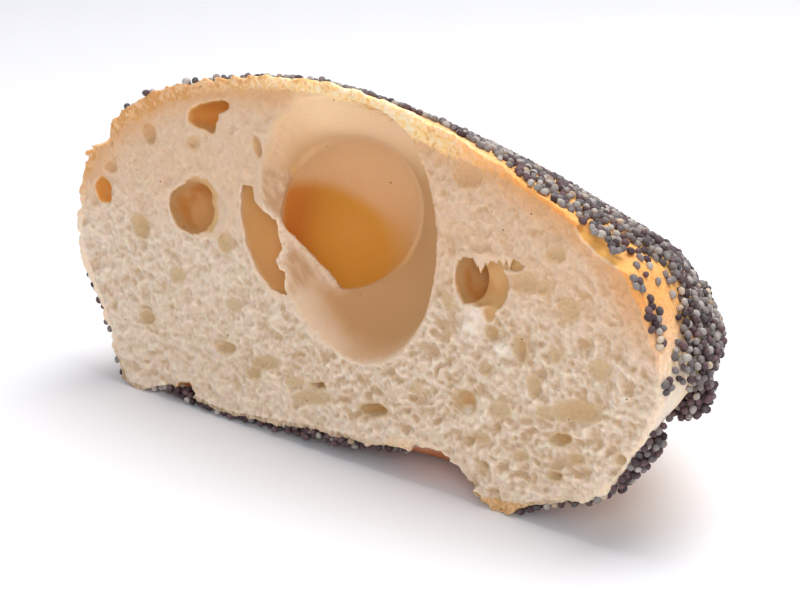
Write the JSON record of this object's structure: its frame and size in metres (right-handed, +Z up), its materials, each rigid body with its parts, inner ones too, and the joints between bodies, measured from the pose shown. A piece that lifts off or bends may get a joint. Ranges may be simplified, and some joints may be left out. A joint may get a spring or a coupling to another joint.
{
  "type": "cut graham roll with poppy seeds",
  "caption": "Cut half of a graham roll: domed crust with poppy seeds over an open crumb face with a large air bubble, lying on its flat base.",
  "frame": {"origin": "on the floor, below the middle of the half roll's bounding box", "axes": "+Z up; +X along the cut face towards the heavily seeded end; the cut face looks along -Y and the crust runs back along +Y"},
  "size_m": [0.1066, 0.042, 0.0533],
  "materials": {
    "bread": "matt, porous cream crumb with a thin golden baked crust",
    "poppy_seeds": "matt, finely pitted, slate blue-grey to plum"
  },
  "bodies": {
    "root": {"roll": "bread"}
  },
  "joints": []
}
